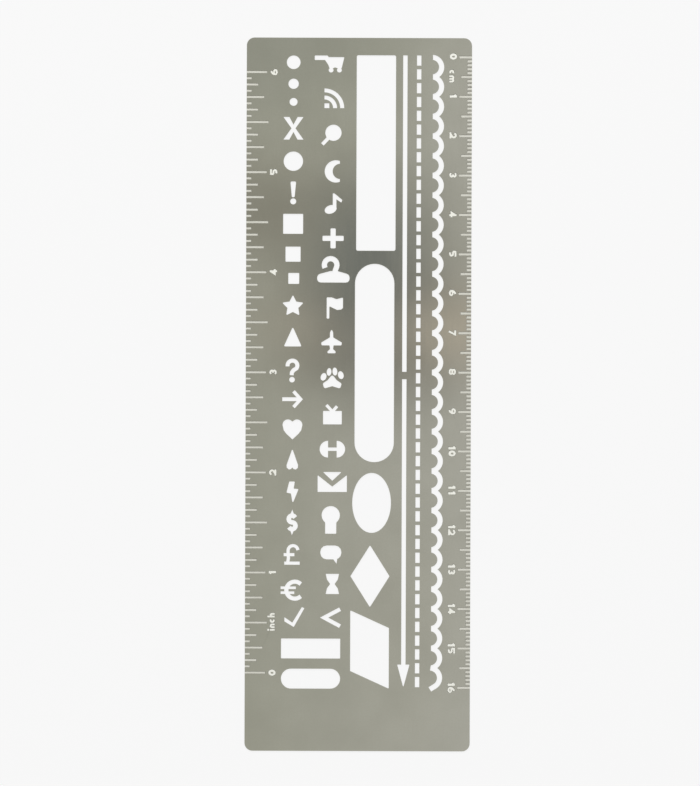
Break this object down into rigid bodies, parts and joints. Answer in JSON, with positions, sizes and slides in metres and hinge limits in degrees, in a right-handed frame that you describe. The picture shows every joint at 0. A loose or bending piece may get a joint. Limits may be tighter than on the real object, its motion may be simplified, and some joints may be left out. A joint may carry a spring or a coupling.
{
  "type": "stencil bookmark",
  "caption": "Thin steel bookmark stencil with picture cut-outs, windows, line guides and an inch and a centimetre ruler along its long edges.",
  "frame": {"origin": "middle of the sheet in plan, at its back face, which lies on the table", "axes": "+Y along the sheet towards its top edge, +X to the right seen from the front, +Z out of the front face"},
  "size_m": [0.0572, 0.181, 0.0004],
  "materials": {
    "satin_steel": "satin, very slightly mottled",
    "pale_etching": "matte, rough"
  },
  "bodies": {
    "root": {"stencil_plate": "satin_steel", "inch_lines": "pale_etching", "half_inch_lines": "pale_etching", "quarter_inch_lines": "pale_etching", "eighth_inch_lines": "pale_etching", "sixteenth_inch_lines": "pale_etching", "inch_numbers": "pale_etching", "inch_word": "pale_etching", "cm_lines": "pale_etching", "half_cm_lines": "pale_etching", "mm_lines": "pale_etching", "cm_numbers": "pale_etching", "cm_word": "pale_etching"}
  },
  "joints": []
}
